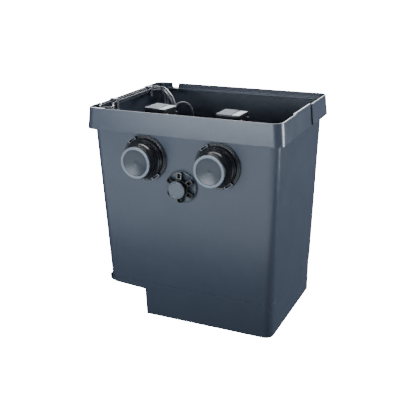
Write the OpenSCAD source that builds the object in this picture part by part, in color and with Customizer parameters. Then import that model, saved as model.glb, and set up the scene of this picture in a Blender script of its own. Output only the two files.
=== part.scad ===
// Pump chamber of a pond filter: an open moulded tub with two pumps, two capped pipe outlets and a drain.
// The origin is the middle of the tub at floor level, +Z is up and the outlets face -Y.

/* [Tub] */
// Length of the rim's lower edge, left to right
rim_w = 800; // [780:5:820]
// Depth of the rim's lower edge, front to back
rim_d = 600; // [590:5:610]
// Height of the tub
tub_h = 862; // [860:1:866]
// Wall thickness
wall = 6; // [4:0.5:7]
// Height of the band round the rim
band_h = 82; // [70:1:90]
// How far each side of the band leans in from its lower edge to the top
band_lean = 7.5; // [4:0.5:9]
// Height of the line where the walls' slope changes
crease_z = 148; // [144:1:160]
// Height of the raised floor's underside at the sump
step_z = 115; // [100:1:120]

/* [Outlets] */
// Distance between the two outlets
outlet_pitch = 298; // [290:1:310]
// Height of the outlets
outlet_z = 685; // [680:1:690]
// Radius of an outlet's flange
flange_r = 89; // [86:0.5:92]
// Radius of an outlet's end cap
cap_r = 61; // [58:0.5:64]

/* [Drain] */
// Height of the drain connector
drain_z = 587; // [575:1:590]
// Radius of the star nut over its grips
star_r = 59; // [52:0.5:60]
// Travel of the star nut on its thread
star_travel = 8; // [4:0.5:9]

/* [Pumps] */
// Turn of the left pump's head about its axis
head_turn_left = -8; // [-12:1:0]
// Turn of the right pump's head about its axis
head_turn_right = -2; // [-6:1:6]
// Number of vanes on an impeller
vane_count = 6; // [4:1:8]
// Slots in each row of a foot strainer
strainer_slots = 12; // [8:1:14]

/* [Cables] */
// Diameter of a pump's cable
cable_d = 8; // [7:0.5:8]

/* [Hidden] */

// Colours
tub_grey = [0.33, 0.36, 0.40];
gloss_black = [0.05, 0.05, 0.06];
cap_grey = [0.52, 0.55, 0.58];
rubber_black = [0.10, 0.10, 0.11];
motor_grey = [0.16, 0.17, 0.18];
label_grey = [0.62, 0.65, 0.68];
steel = [0.72, 0.73, 0.75];

// Tub
half_w = rim_w / 2;
half_d = rim_d / 2;
rim_r = 36;               // corner radius of rim and walls
overhang = 22;            // from the body wall to the band's lower edge
slope_up = 0.03;          // draft of the walls above the crease
slope_low = 0.01;         // draft below the crease
band_z = tub_h - band_h;  // lower edge of the band
ledge_z = tub_h - 20;     // top of the seat for a lid
ledge_in = 31;            // from the band's lower edge to the seat's inner edge
back_jog = 8.5;           // the back wall steps in this far below the crease
body_w = half_w - overhang;
body_d = half_d - overhang;
corner_steps = 8;         // chords in each rounded corner
recess = 7;               // depth of the shallow recess in each end band
recess_left = [-195, 180];
recess_right = [-125, 70];
notch_x = [-318, -288];   // cable notch in the back of the rim
lip_end_x = -306;         // the thick corner lip at the front left ends here
rib_pitch = 130;          // ribs under the band
rib_t = 3;
low_w = body_w - slope_up * (band_z - crease_z);
low_d = body_d - slope_up * (band_z - crease_z);
foot_w = low_w - slope_low * crease_z;
foot_d = low_d - slope_low * crease_z;
ledge_w = body_w + slope_up * (ledge_z - band_z);
ledge_d = body_d + slope_up * (ledge_z - band_z);
wall_split_x = [-347, 343]; // the end walls are parted from the floor here, just inside their inner faces
wall_split_y = [-245, 240]; // the long walls are parted from the rest here
step_x = -188;            // outer face of the sump's end wall at floor level
step_lean = 3;            // it leans this far out by the time it meets the raised floor
floor_slope = 11 / 168;   // the raised floor drains towards the sump
floor_bend = 25;          // radius under the raised floor's outer edge
floor_in_x = step_x - step_lean + wall;
floor_in_z = step_z + wall;
floor_tilt = atan(floor_slope);

// Cable clips
hook_y = [-110, 174];     // back edge of each clip
hook_w = 14;
hook_t = 3;
hook_x = [-390, -356.4];  // outside of the outer leg and inside of the inner leg
hook_foot_z = 821;
shelf_x = -368.6;
shelf_z = 837.5;          // the lower cable rests here

// Flat seats on the walls for the fittings
seat_y = -278.2;          // outer face of the outlets' seats
seat_in_y = -266;
drain_seat_y = -275.5;
drain_seat_in_y = -262;
inlet_x = 170;
inlet_z = 300;
inlet_seat_y = 268;
inlet_seat_in_y = 254;
inlet_r = 80.1;           // bore for a pipe of 160 mm outside diameter
inlet_hole_r = 88;

// Outlets, along -Y from the seat
gasket_t = 2;
flange_t = 4.8;
flange_y = seat_y - gasket_t;          // back of the flange
flange_front_y = flange_y - flange_t;
neck_r = 57.5;
neck_bore_r = 51;
neck_end_y = -247;        // the neck ends here inside the tub
hose_r = 32;              // outside of the spigots inside the tub
hose_bore_r = 27;
spigot_end_y = -223;
sleeve_r = 37;            // outside of the rubber sleeve between a spigot and a pump
clamp_y = [-234, -213];
nut_r = 74;               // lock nut inside the wall
nut_notch_r = 5;
collar_y = flange_front_y - 1;
collar_t = 15;
collar_r = 80;
collar_in_r = 62.3;
socket_r = 61.8;          // short ring on the flange that the collar turns on
socket_y = flange_front_y - 10;
knurl = [3, 9, 5];
lug_w = 38;
lug_t = 8;
barrel_y = collar_y - collar_t - 0.4;
barrel_end_y = -346;
barrel_bore_r = 50;
barrel_foot_r = 73;
cap_front_y = -360;
cap_gap = 0.3;
cap_spigot_r = 49.6;
cap_spigot_y = -322;
cap_groove_y = -336;
cap_groove = 3;           // depth of the O-ring groove
cap_ring_r = 1.55;        // thickness radius of the O-ring
knurls = 40;
lug_angles = [125, 305];

// Drain, along -Y from its seat
drain_flange_r = 62;
drain_hole_r = 30.5;
drain_neck_r = 29.7;
drain_bore_r = 20;
drain_inner_y = -246;     // the bulkhead ends here inside the tub
drain_flange_y = drain_seat_y - 1.7;
drain_front_y = drain_flange_y - 3.8;
drain_neck_y = drain_front_y - 9;
tail_flange_y = drain_neck_y - 0.2;
slip_y = tail_flange_y - 3.2;
star_back_y = drain_front_y - 1.5;
star_lip_y = slip_y - 2.3;
star_front_y = -303;
tail_end_y = -315.5;
drain_cap_y = -325;
drain_cap_r = 34;
tail_r = 24;
tail_bore_r = 18;
grip_count = 6;

// Pumps, about a vertical axis
pump_x = outlet_pitch / 2;
pump_y = -142;
volute_z = [653, 718];
volute_r = 58;
chamber_r = 52;
motor_z = [718, 792];
motor_r = 44;
volute_flange_r = 60;
screw_circle_r = 55.5;
screw_r = 2;
can_r = 24;               // bore round the rotor
rotor_r = 22;
rotor_z = [728, 762];
bush_z = 766;
shaft_end_z = 777;
head_z = [792.2, 852.5];
head_size = [100, 90];
fin_top_z = 855;
fin_pitch = 7.5;
shaft_r = 5;
bush_bore_r = 5.05;
bush_seat_r = 12;
gland_x = -8;             // places of the cable gland on the head's back
gland_z = 826;
gland_y = head_size[1] / 2 - 1.2;
gland_len = 28;
gland_r = 7;              // stub of the gland that sits in the casing
label_inset = 23;         // from the head's right side to the middle of its label
label_w = 33.4;
pipe_r = 28;
pipe_bore_r = 25.5;
pipe_z = [160, 640];
strainer_r = 31;
foot_z = 6.3;

// Cables
cable_r = cable_d / 2;
cable_sides = 10;
coil_y = [176, -30];      // middle of each coil on the raised floor: the left cable's, then the right one's
coil_x = -260;
coil_r = [33.5, 66.5];    // inside and outside of a coil
coil_h = 49;
plug_dx = -15.9;          // from a coil's middle to where the cord enters its plug
plug_dy = -102;
plug_rise = 18.6;         // height of the plug's axis over the floor
on_floor_gap = 0.3;

// From the left pump over the rim seat, round the hank at the front, back and down to its coil
route_left = [
  [-146.9, -69.5, 826], [-145, -56, 826], [-143.4, -43.5, 829], [-141, -32, 835], [-136, -22, 841],
  [-127.7, -13, 844.8], [-117.4, -5, 844.5], [-107, 1, 840.2], [-97.5, 5, 832], [-90.7, 7, 821],
  [-87, 8, 808.7], [-85.5, 8, 793], [-84, 9, 766], [-86, 12, 742], [-94, 16, 721], [-108, 21, 708],
  [-126, 27, 704], [-144, 32, 710], [-160, 37, 724], [-171, 42, 745], [-179, 46, 772], [-185, 51, 798],
  [-192, 60, 819], [-203, 73, 834], [-218, 89, 842], [-235, 109, 846], [-253, 131, 849],
  [-272, 154, 851.5], [-290, 176, 853], [-307, 192.5, 854.5], [-319, 202.4, 855], [-332, 205.8, 854.6],
  [-344.7, 203.6, 853.6], [-355.2, 196.6, 852.4], [-362.1, 186.2, 851.2], [-364.5, 174, 850.5],
  [-364.5, 80, 850.2], [-364.5, -20, 850.2], [-364.5, -125, 850.2], [-362, -143, 850.2],
  [-355, -159, 850.4], [-345, -174, 850.8], [-335, -188, 851.2], [-327.6, -202, 851.8],
  [-325, -216, 852.4], [-328.5, -228.5, 853], [-337.8, -237.8, 853.6], [-350.3, -241.3, 854.2],
  [-362.8, -237.8, 854.5], [-372, -228.5, 854.6], [-375.3, -215, 854.6], [-375.3, -190, 854.6],
  [-375.3, -80, 854.6], [-375.3, 60, 854.6], [-375.3, 190, 854.6], [-372.9, 202.4, 854.6],
  [-366, 212.8, 854.6], [-355.6, 220.2, 853.7], [-343.6, 224, 850], [-331, 225.5, 843],
  [-319.5, 225, 832], [-310.8, 222.5, 816.5], [-305.8, 218.5, 798], [-303.6, 213, 770],
  [-304, 205, 700], [-309, 200, 560], [-316, 198, 400], [-321.5, 197, 260], [-322.5, 197, 219],
  [-322.5, 194.4, 204.7], [-322.4, 187, 193.8], [-322.2, 176, 186.3], [-321.8, 163, 183.5]];
// From the right pump under the left one's loop, the same way and one strand lower
route_right = [
  [143.5, -69.7, 826], [144, -56, 826], [145.5, -41, 822.5], [147, -27, 813.5], [147.5, -15, 799],
  [145, -5, 777], [137, 6, 743], [121, 17, 708], [98, 27, 678], [70, 35, 657],
  [36, 42, 645], [-8, 47, 641], [-54, 51, 646], [-98, 56, 660], [-140, 62, 682],
  [-173, 67, 710], [-193, 70, 742], [-203, 72, 772], [-209, 75, 799], [-216, 82, 819],
  [-228, 93, 831], [-243, 108, 838], [-259, 127, 841.5], [-276, 148, 843.5], [-292, 168, 845],
  [-307, 185.5, 845.8], [-319, 195.4, 846], [-332, 198.8, 845.6], [-344.7, 196.6, 844.8],
  [-355.2, 189.6, 843.8], [-362.1, 179.2, 842.6], [-364.5, 167, 842],
  [-364.5, 80, 841.8], [-364.5, -20, 841.8], [-364.5, -125, 841.8], [-362, -143, 841.8],
  [-355, -159, 842], [-345, -174, 842.4], [-335, -188, 842.8], [-327.6, -202, 843.4],
  [-325, -216, 844], [-328.5, -228.5, 844.6], [-337.8, -237.8, 845.2], [-350.3, -241.3, 845.8],
  [-362.8, -237.8, 846.1], [-372, -228.5, 846.2], [-375.3, -215, 846.2], [-375.3, -190, 846.2],
  [-375.3, -80, 846.2], [-375.3, 60, 846.2], [-375.3, 190, 846.2], [-372.9, 202.2, 846.3],
  [-365.9, 212.8, 846.3], [-356, 220.5, 844.8], [-345, 224.5, 840], [-334.5, 225, 832],
  [-326, 223, 820.5], [-320.5, 219, 805], [-317.8, 212, 783], [-318, 182, 609],
  [-319, 157, 491], [-320, 107, 333], [-321, 57, 243], [-322, 7, 198], [-322.2, -18, 188],
  [-321.8, -43, 183.5]];
// From a coil's outside to its plug, as offsets from the middle of the coil on the floor
tail_route = [
  [-70.8, -2, 4.4], [-70.8, -26, 4.4], [-70, -46, 4.8], [-67, -66, 6.5], [-60, -83, 9.5],
  [-48.5, -95.5, 13.5], [-35, -101.5, 17.5], [-22, -102, 18.6], [-16, -102, 18.6]];

function floor_at(x) = floor_in_z + (floor_in_x - x) * floor_slope;

// ---- Helpers ----

function corner(cx, cy, r, from) =
  [for (i = [0 : corner_steps]) let (a = from + i * 90 / corner_steps) [cx + r * cos(a), cy + r * sin(a)]];

// Outline of a rounded rectangle given as [x0, x1, y0, y1, r]
function outline(s) = concat(
  corner(s[1] - s[4], s[2] + s[4], s[4], -90), corner(s[1] - s[4], s[3] - s[4], s[4], 0),
  corner(s[0] + s[4], s[3] - s[4], s[4], 90), corner(s[0] + s[4], s[2] + s[4], s[4], 180));

// Closed solid through rounded rectangles [x0, x1, y0, y1, r, z], lowest first
module loft(sections) {
  n = 4 * (corner_steps + 1);
  rings = len(sections);
  points = [for (s = sections) for (p = outline(s)) [p[0], p[1], s[5]]];
  sides = [for (k = [0 : rings - 2]) for (i = [0 : n - 1])
    let (a = k * n + i, b = k * n + (i + 1) % n)
    for (t = [[a, a + n, b], [b, a + n, b + n]]) t];
  caps = [[for (i = [0 : n - 1]) i], [for (i = [n - 1 : -1 : 0]) (rings - 1) * n + i]];
  polyhedron(points = points, faces = concat(sides, caps));
}

// Rounded rectangle centred on the origin
function ring_at(hx, hy, r, z) = [-hx, hx, -hy, hy, r, z];

// Tube or disc along -Y from y0 (nearer the tub) to y1
module disc_y(r, y0, y1, fn = 96) {
  translate([0, y0, 0]) rotate([90, 0, 0]) cylinder(r = r, h = y0 - y1, $fn = fn);
}

// Solid of revolution about the Y axis, from points [radius, y]
module turned_y(points, fn = 96) {
  rotate([90, 0, 0]) rotate_extrude($fn = fn) polygon([for (p = points) [p[0], -p[1]]]);
}

function unit(v) = v / norm(v);

// Closed tube through the points of a route
module sweep(route, r) {
  last = len(route) - 1;
  points = [for (i = [0 : last])
    let (
      dir = unit(route[min(i + 1, last)] - route[max(i - 1, 0)]),
      side = unit(cross(dir, abs(dir[2]) > 0.8 ? [0, 1, 0] : [0, 0, 1])),
      rise = cross(side, dir))
    for (k = [0 : cable_sides - 1])
      route[i] + r * (cos(k * 360 / cable_sides) * side + sin(k * 360 / cable_sides) * rise)];
  m = cable_sides;
  sides = [for (i = [0 : last - 1]) for (k = [0 : m - 1])
    let (a = i * m + k, b = i * m + (k + 1) % m)
    for (t = [[a, a + m, b], [b, a + m, b + m]]) t];
  caps = [[for (k = [0 : m - 1]) k], [for (k = [m - 1 : -1 : 0]) last * m + k]];
  polyhedron(points = points, faces = concat(sides, caps));
}

module at_outlet(s) { translate([s * outlet_pitch / 2, 0, outlet_z]) children(); }
module at_drain() { translate([0, 0, drain_z]) children(); }
module at_inlet(s) { translate([s * inlet_x, 0, inlet_z]) children(); }
module at_pump(s) { translate([s * pump_x, pump_y, 0]) children(); }
module at_head(s) {
  at_pump(s) rotate([0, 0, s < 0 ? head_turn_left : head_turn_right]) children();
}

// ---- Tub ----

module body_outside() {
  loft([ring_at(low_w, low_d, rim_r, crease_z), ring_at(ledge_w, ledge_d, rim_r, ledge_z)]);
  loft([
    [-foot_w, foot_w, -foot_d, foot_d - back_jog, rim_r, 0],
    [-low_w, low_w, -low_d, low_d - back_jog, rim_r, crease_z]]);
}

module body_inside() {
  r = rim_r - wall;
  loft([
    ring_at(low_w - wall, low_d - wall, r, crease_z + wall),
    ring_at(ledge_w - wall, ledge_d - wall, r, ledge_z - wall)]);
  loft([
    [-foot_w + wall, foot_w - wall, -foot_d + wall, foot_d - back_jog - wall, r, wall],
    [-low_w + wall, low_w - wall, -low_d + wall, low_d - back_jog - wall, r, crease_z + wall]]);
  loft([
    ring_at(half_w - ledge_in, half_d - ledge_in, r - 4, ledge_z - wall - 1),
    ring_at(half_w - ledge_in, half_d - ledge_in, r - 4, tub_h + 1)]);
}

// Space under the raised floor: grow moves its walls outwards
module under_floor(grow) {
  x1 = step_x + grow;
  z1 = step_z + grow;
  rise = (low_w - grow - floor_bend + x1 - step_lean) * floor_slope;
  cx = -low_w + grow + floor_bend;
  cz = z1 + rise + floor_bend;
  translate([0, half_d, 0]) rotate([90, 0, 0]) linear_extrude(2 * half_d)
    polygon(concat(
      [[-half_w, -1], [x1, -1], [x1 - step_lean, z1]],
      [for (a = [270 : -15 : 180]) [cx + floor_bend * cos(a), cz + floor_bend * sin(a)]],
      [[-half_w, cz]]));
}

// A slab along the end bands, from face x at the band's foot outwards, with the band's own lean
module end_slab(x, y_range, z0, z1) {
  lean = band_lean / band_h;
  translate([0, y_range[1], 0]) rotate([90, 0, 0]) linear_extrude(y_range[1] - y_range[0])
    polygon([
      [x - lean * (z0 - band_z), z0], [x + 40, z0], [x + 40, z1], [x - lean * (z1 - band_z), z1]]);
}

module both_recesses(depth, z0, z1) {
  end_slab(half_w - depth, recess_right, z0, z1);
  mirror([1, 0, 0]) end_slab(half_w - depth, recess_left, z0, z1);
}

module band() {
  top_w = half_w - band_lean;
  top_d = half_d - band_lean;
  lean = band_lean / band_h;
  hollow_z = ledge_z - wall;
  hollow_lean = lean * (hollow_z - band_z);
  difference() {
    loft([ring_at(half_w, half_d, rim_r, band_z), ring_at(top_w, top_d, rim_r, tub_h)]);
    both_recesses(recess, band_z - 1, tub_h + 1);
    difference() {
      loft([
        ring_at(half_w - wall + lean, half_d - wall + lean, rim_r - wall, band_z - 1),
        ring_at(half_w - wall - hollow_lean, half_d - wall - hollow_lean, rim_r - wall, hollow_z)]);
      both_recesses(recess + wall, band_z - 2, hollow_z + 1);
    }
    difference() {
      loft([
        ring_at(top_w - wall, top_d - wall, rim_r - wall, ledge_z),
        ring_at(top_w - wall, top_d - wall, rim_r - wall, tub_h + 1)]);
      both_recesses(recess + wall, ledge_z - 1, tub_h + 2);
      front_lip();
    }
  }
}

// Thick stretch of the front rim beside the left corner
module front_lip() {
  y1 = -half_d + band_lean + 2 * wall + 2;
  translate([0, y1, 0]) rotate([90, 0, 0]) linear_extrude(2 * wall)
    polygon([
      [-half_w, ledge_z - 1], [lip_end_x, ledge_z - 1], [lip_end_x - 8, tub_h + 2],
      [-half_w, tub_h + 2]]);
}

module band_ribs() {
  rib_h = ledge_z - wall - band_z;
  gap = overhang - wall;
  for (s = [-1, 1], x = [-2 * rib_pitch : rib_pitch : 2 * rib_pitch])
    translate([x, s * (body_d + gap / 2 - 1), band_z + 14 + rib_h / 2 - 7])
      cube([rib_t, gap + 4, rib_h - 12], center = true);
}

module tub_shell() {
  difference() {
    union() {
      band();
      body_outside();
      band_ribs();
    }
    under_floor(0);
    difference() {
      body_inside();
      under_floor(wall);
    }
  }
}

module notch() {
  r = 6;
  mid = (notch_x[0] + notch_x[1]) / 2;
  w = notch_x[1] - notch_x[0];
  translate([mid, half_d + 2, 0]) rotate([90, 0, 0]) linear_extrude(20) union() {
    translate([-w / 2, ledge_z + r]) square([w, 20]);
    translate([-w / 2 + r, ledge_z + 0.2]) square([w - 2 * r, 20]);
    for (s = [-1, 1]) translate([s * (w / 2 - r), ledge_z + r + 0.2]) circle(r, $fn = 32);
  }
}

module tub_moulding() {
  difference() {
    union() {
      tub_shell();
      for (s = [-1, 1]) at_outlet(s) disc_y(flange_r + 2, seat_in_y, seat_y);
      at_drain() disc_y(drain_flange_r + 1, drain_seat_in_y, drain_seat_y);
      for (s = [-1, 1]) at_inlet(s) disc_y(inlet_hole_r + 12, inlet_seat_y, inlet_seat_in_y);
    }
    for (s = [-1, 1]) at_outlet(s) disc_y(neck_r + 0.5, 0, seat_y - 5);
    at_drain() disc_y(drain_hole_r, 0, drain_seat_y - 5);
    for (s = [-1, 1]) at_inlet(s) disc_y(inlet_hole_r, inlet_seat_y + 5, 0);
    notch();
  }
}

// The moulding is one piece on the real object. It is stated as four walls and a floor that meet face to face.
module tub_piece(x_range, y_range) {
  color(tub_grey) intersection() {
    tub_moulding();
    translate([x_range[0], y_range[0], -1])
      cube([x_range[1] - x_range[0], y_range[1] - y_range[0], tub_h + 2]);
  }
}

module tub_front_wall() {
  tub_piece([-half_w - 1, half_w + 1], [-half_d - 1, wall_split_y[0]]);
}

module tub_back_wall() {
  tub_piece([-half_w - 1, half_w + 1], [wall_split_y[1], half_d + 1]);
}

module tub_left_wall() {
  tub_piece([-half_w - 1, wall_split_x[0]], wall_split_y);
}

module tub_right_wall() {
  tub_piece([wall_split_x[1], half_w + 1], wall_split_y);
}

module tub_floor() {
  tub_piece(wall_split_x, wall_split_y);
}

// Two clips over the left rim, each with a shelf under the hank of cables
module cable_hooks() {
  top = tub_h + 0.3;
  leg_h = top + hook_t - hook_foot_z;
  color(gloss_black) for (y = hook_y)
    translate([0, y, 0]) rotate([90, 0, 0]) linear_extrude(hook_w) union() {
      translate([hook_x[0], top]) square([hook_x[1] - hook_x[0], hook_t]);
      translate([hook_x[0], tub_h - 12]) square([hook_t - 0.2, 12 + hook_t]);
      translate([hook_x[1] - hook_t, hook_foot_z]) square([hook_t, leg_h]);
      translate([shelf_x, shelf_z - 9]) square([hook_x[1] - shelf_x, 9]);
      translate([shelf_x - 4.2, shelf_z - 9]) square([5, hook_t]);
    }
}

// ---- Outlets ----

module outlet_gasket(s) {
  color(rubber_black) at_outlet(s) difference() {
    disc_y(flange_r - 1, seat_y, flange_y);
    disc_y(neck_r + 0.5, seat_y + 1, flange_y - 1);
  }
}

// Flange outside, threaded neck through the wall, and a narrower hose spigot inside the tub
module outlet_bulkhead(s) {
  color(gloss_black) at_outlet(s) turned_y([
    [neck_bore_r, socket_y], [socket_r, socket_y], [socket_r, flange_front_y],
    [flange_r, flange_front_y], [flange_r, flange_y], [neck_r, flange_y], [neck_r, neck_end_y],
    [hose_r, neck_end_y + 2.5], [hose_r, spigot_end_y], [hose_bore_r, spigot_end_y],
    [hose_bore_r, neck_end_y], [neck_bore_r, neck_end_y - 5]]);
}

module outlet_locknut(s) {
  y1 = neck_end_y - 5.5;
  color(gloss_black) at_outlet(s) difference() {
    disc_y(nut_r, y1, seat_in_y);
    disc_y(neck_r + 0.1, y1 + 1, seat_in_y - 1);
    for (a = [0 : 45 : 315]) rotate([0, a, 0]) translate([nut_r, 0, 0])
      disc_y(nut_notch_r, y1 + 1, seat_in_y + 4, 24);
  }
}

module collar_lug() {
  mid_y = collar_y - lug_t / 2;
  difference() {
    intersection() {
      translate([flange_r - 18.5, mid_y, 0]) cube([flange_r / 2, lug_t, lug_w], center = true);
      disc_y(flange_r, collar_y + 1, collar_y - 20);
    }
    translate([collar_r + 1.5, mid_y, 0]) cube([6, 20, lug_w - 14], center = true);
    disc_y(collar_in_r + 4, collar_y + 2, collar_y - 20);
  }
}

// Bayonet ring with a knurled edge and two slotted lugs
module outlet_collar(s) {
  y1 = collar_y - collar_t;
  color(gloss_black) at_outlet(s) {
    turned_y([
      [collar_in_r, collar_y], [collar_r - 2, collar_y], [collar_r - 2, y1 + 4],
      [collar_r - 6, y1], [collar_in_r, y1]]);
    for (i = [0 : knurls - 1]) rotate([0, i * 360 / knurls, 0])
      translate([collar_r - 2.4, (collar_y + y1) / 2 + 1, 0]) cube(knurl, center = true);
    for (a = lug_angles) rotate([0, -a, 0]) collar_lug();
  }
}

// Stepped tail piece behind the cap
module outlet_barrel(s) {
  y0 = barrel_y;
  color(gloss_black) at_outlet(s) turned_y([
    [barrel_bore_r, y0], [barrel_foot_r, y0], [barrel_foot_r, y0 - 4], [69.5, y0 - 6], [69.5, y0 - 18],
    [68.5, y0 - 24],
    [65.5, y0 - 31], [62, y0 - 36], [60, y0 - 39], [60, barrel_end_y], [barrel_bore_r, barrel_end_y]]);
}

// End cap with a raised rim, a dished face, and a spigot that plugs the barrel
module outlet_cap(s) {
  y0 = barrel_end_y - cap_gap;
  r = cap_spigot_r;
  color(cap_grey) at_outlet(s) turned_y([
    [0, cap_front_y + 9.5], [3, cap_front_y + 9], [5, cap_front_y + 8], [20, cap_front_y + 7],
    [36, cap_front_y + 5.4], [46, cap_front_y + 3.2], [50, cap_front_y + 1], [51.5, cap_front_y],
    [cap_r - 1.5, cap_front_y], [cap_r, cap_front_y + 1.5], [cap_r, y0], [r, y0],
    [r, cap_groove_y - 2], [r - cap_groove, cap_groove_y - 2], [r - cap_groove, cap_groove_y + 2],
    [r, cap_groove_y + 2], [r, cap_spigot_y], [43, cap_spigot_y], [43, y0 + 1], [0, y0 + 1]]);
}

module cap_ring(s) {
  color(rubber_black) at_outlet(s) translate([0, cap_groove_y, 0]) rotate([90, 0, 0])
    rotate_extrude($fn = 96) translate([barrel_bore_r - 0.25 - cap_ring_r, 0]) circle(cap_ring_r, $fn = 24);
}

// ---- Drain ----

module drain_gasket() {
  color(rubber_black) at_drain() difference() {
    disc_y(drain_flange_r - 1.5, drain_seat_y, drain_flange_y);
    disc_y(drain_hole_r, drain_seat_y + 1, drain_flange_y - 1);
  }
}

module drain_bulkhead() {
  color(tub_grey) at_drain() turned_y([
    [drain_bore_r, drain_neck_y], [drain_neck_r, drain_neck_y], [drain_neck_r, drain_front_y],
    [drain_flange_r - 1.5, drain_front_y], [drain_flange_r, drain_front_y + 1.5],
    [drain_flange_r, drain_flange_y], [drain_neck_r + 0.3, drain_flange_y],
    [drain_neck_r + 0.3, drain_inner_y], [drain_bore_r, drain_inner_y]]);
}

module drain_locknut() {
  color(gloss_black) at_drain() difference() {
    disc_y(46, drain_inner_y - 3, drain_seat_in_y, 6);
    disc_y(drain_neck_r + 0.4, drain_inner_y - 2, drain_seat_in_y - 1);
  }
}

module drain_tail() {
  color(gloss_black) at_drain() turned_y([
    [tail_bore_r, tail_end_y], [tail_r, tail_end_y], [tail_r, tail_flange_y - 3],
    [drain_neck_r - 0.7, tail_flange_y - 3], [drain_neck_r - 0.7, tail_flange_y],
    [tail_bore_r, tail_flange_y]]);
}

module drain_slip_ring() {
  color(rubber_black) at_drain() turned_y([
    [tail_r + 0.4, slip_y - 2], [drain_neck_r - 0.3, slip_y - 2], [drain_neck_r - 0.3, slip_y],
    [tail_r + 0.4, slip_y]]);
}

// One hollow grip of the star nut, pointing along +X
module star_grip() {
  half = 7.5;
  tip_front_y = star_back_y - 12;
  outline_xy = [
    [26, star_back_y], [star_r - 2, star_back_y], [star_r, star_back_y - 2], [star_r, tip_front_y],
    [star_r - 12, tip_front_y - 3], [26, star_front_y + 2]];
  difference() {
    translate([0, 0, -half]) linear_extrude(2 * half) polygon(outline_xy);
    translate([46, tip_front_y - 4, 0]) cube([16, 17, 2 * half - 5], center = true);
  }
}

module drain_star_nut() {
  bore_r = tail_r + 0.6;
  hub_r = 36;
  color(gloss_black) at_drain() difference() {
    union() {
      turned_y([[bore_r, star_front_y], [hub_r - 3, star_front_y], [hub_r, star_front_y + 3],
        [hub_r, star_back_y], [bore_r, star_back_y]]);
      for (i = [0 : grip_count - 1]) rotate([0, -30 - i * 360 / grip_count, 0]) star_grip();
    }
    disc_y(drain_neck_r + 0.35, star_back_y + 1, star_lip_y);
  }
}

module drain_cap() {
  y0 = tail_end_y - 0.3;
  plug_r = tail_bore_r - 0.3;
  y1 = y0 + 13;
  color(cap_grey) at_drain() turned_y([
    [0, drain_cap_y], [24, drain_cap_y], [25, drain_cap_y + 0.6], [27, drain_cap_y + 0.6],
    [28, drain_cap_y], [drain_cap_r - 1.2, drain_cap_y], [drain_cap_r, drain_cap_y + 1.2],
    [drain_cap_r, y0], [plug_r, y0], [plug_r, y1], [0, y1]]);
}

// ---- Inlets ----

// Rubber lip seal in the back wall
module inlet_seal(s) {
  neck = inlet_hole_r - 0.1;
  bead_r = 98;
  outer_y = inlet_seat_y + 0.1;
  inner_y = inlet_seat_in_y - 0.1;
  color(rubber_black) at_inlet(s) turned_y([
    [inlet_r, 288], [inlet_r + 5, 288], [inlet_r + 6, outer_y + 4.2], [bead_r, outer_y + 4.2],
    [bead_r, outer_y], [neck, outer_y], [neck, inner_y], [bead_r - 1, inner_y], [bead_r - 1, 249],
    [inlet_r, 249]]);
}

// ---- Joining sleeves ----

module coupling_sleeve(s) {
  y = [-243, -203];
  color(rubber_black) at_outlet(s) turned_y([
    [hose_r + 0.1, y[0]], [sleeve_r, y[0]], [sleeve_r, y[1]], [hose_r + 0.1, y[1]]]);
}

// Worm-drive clamp round a sleeve
module hose_clamp() {
  screw_x = sleeve_r + 4.5;
  difference() {
    union() {
      disc_y(sleeve_r + 2, 5, -5);
      translate([0, 0, screw_x]) cube([16, 9, 7], center = true);
      translate([-13, 0, screw_x]) rotate([0, 90, 0]) cylinder(r = 3.4, h = 6, $fn = 6);
    }
    disc_y(sleeve_r + 0.1, 6, -6);
  }
}

module hose_clamps() {
  color(steel) for (s = [-1, 1], y = clamp_y) at_outlet(s) translate([0, y, 0]) hose_clamp();
}

// ---- Pumps ----

module at_screws() {
  for (i = [0 : 5]) rotate([0, 0, 30 + i * 60]) translate([screw_circle_r, 0, 0]) children();
}

module screw_holes(z0, z1) {
  at_screws() translate([0, 0, z0]) cylinder(r = screw_r + 0.1, h = z1 - z0, $fn = 24);
}

// Pump casing with its inlet below and its discharge towards the outlet
module pump_volute(s) {
  z0 = volute_z[0];
  z1 = volute_z[1];
  discharge_y = -221 - pump_y;
  inlet_bore_r = 26;
  color(motor_grey) at_pump(s) difference() {
    union() {
      translate([0, 0, z0]) cylinder(r = volute_r, h = z1 - z0, $fn = 96);
      translate([0, 0, z1 - 8]) cylinder(r = volute_flange_r, h = 8, $fn = 96);
      translate([0, 0, z0 - 25]) cylinder(r = hose_r, h = 26, $fn = 96);
      translate([0, 0, outlet_z]) disc_y(hose_r, 0, discharge_y);
    }
    translate([0, 0, z0 + 7]) cylinder(r = chamber_r, h = z1, $fn = 96);
    translate([0, 0, z0 - 26]) cylinder(r = inlet_bore_r, h = 40, $fn = 96);
    translate([0, 0, outlet_z]) disc_y(hose_bore_r, 0, discharge_y - 1);
    screw_holes(z1 - 14, z1 + 1);
  }
}

module impeller(s) {
  z0 = volute_z[0] + 13;
  z1 = volute_z[1] - 12;
  color(gloss_black) at_pump(s) difference() {
    union() {
      translate([0, 0, z1 - 4]) cylinder(r = 46, h = 4, $fn = 96);
      translate([0, 0, z0]) cylinder(r = 11, h = z1 - z0, $fn = 48);
      for (i = [0 : vane_count - 1]) rotate([0, 0, i * 360 / vane_count]) translate([9, -4, z0 + 3])
        rotate([0, 0, 14]) cube([34, 3, z1 - z0 - 5]);
    }
    translate([0, 0, z0 - 1]) cylinder(r = shaft_r, h = z1 - z0 + 2, $fn = 48);
  }
}

module rotor_shaft(s) {
  z0 = volute_z[0] + 13;
  color(steel) at_pump(s) {
    translate([0, 0, z0]) cylinder(r = shaft_r, h = shaft_end_z - z0, $fn = 48);
    translate([0, 0, rotor_z[0]]) cylinder(r = rotor_r, h = rotor_z[1] - rotor_z[0], $fn = 96);
  }
}

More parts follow.
